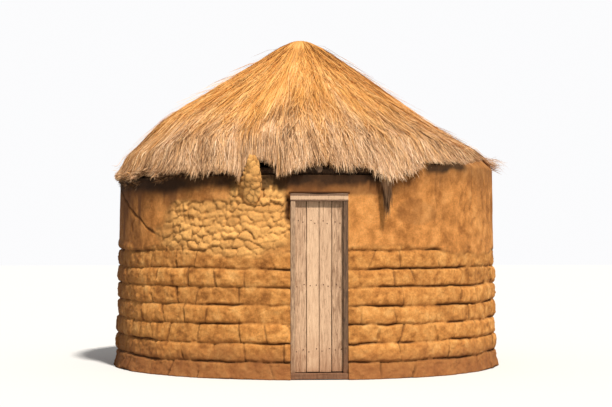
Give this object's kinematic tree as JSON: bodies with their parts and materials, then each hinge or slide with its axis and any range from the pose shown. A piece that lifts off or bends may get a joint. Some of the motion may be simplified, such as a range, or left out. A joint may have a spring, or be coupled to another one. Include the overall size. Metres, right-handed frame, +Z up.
{
  "type": "rondavel hut",
  "caption": "Round mud-walled hut with a conical thatched roof on poles and a plank door that swings inwards.",
  "frame": {"origin": "on the ground at the middle of the round hut", "axes": "+Z up, -Y out of the doorway, +X to the right of someone who faces the door"},
  "size_m": [4.9, 4.8686, 4.0162],
  "materials": {
    "mud_wall": "matte mud plaster",
    "beaten_earth": "matte",
    "door_timber": "weathered",
    "hinge_iron": "rusted",
    "roof_poles": "rough",
    "withies": "rough",
    "thatch": "dry grass"
  },
  "bodies": {
    "hut": {"wall_front_right": "mud_wall", "wall_right": "mud_wall", "wall_back_right": "mud_wall", "wall_back": "mud_wall", "wall_back_left": "mud_wall", "wall_left": "mud_wall", "wall_front_left": "mud_wall", "wall_over_door": "mud_wall", "earth_floor": "beaten_earth", "door_sill": "door_timber", "door_jamb_left": "door_timber", "door_jamb_right": "door_timber", "door_lintel": "door_timber", "hinge_pintles": "hinge_iron", "wall_plate": "roof_poles", "rafters_main": "roof_poles", "rafters_between": "roof_poles", "crown_block": "roof_poles", "roof_hoop_1": "withies", "roof_hoop_2": "withies", "roof_hoop_3": "withies", "roof_hoop_4": "withies", "roof_hoop_5": "withies", "thatch_eave_front": "thatch", "thatch_eave_front_right": "thatch", "thatch_eave_back_right": "thatch", "thatch_eave_back": "thatch", "thatch_eave_back_left": "thatch", "thatch_eave_front_left": "thatch", "thatch_middle_front": "thatch", "thatch_middle_front_right": "thatch", "thatch_middle_back_right": "thatch", "thatch_middle_back": "thatch", "thatch_middle_back_left": "thatch", "thatch_middle_front_left": "thatch", "thatch_upper_front": "thatch", "thatch_upper_back_right": "thatch", "thatch_upper_back_left": "thatch", "thatch_cap": "thatch"},
    "door": {"door_planks": "door_timber", "door_ledges": "door_timber", "hinge_straps": "hinge_iron"}
  },
  "joints": [
    {"name": "door_hinge", "type": "hinge", "parent": "hut", "child": "door", "pos_m": [0.2887, -2.2057, 1], "axis": [0, 0, -1], "range_deg": [0, 90]}
  ]
}
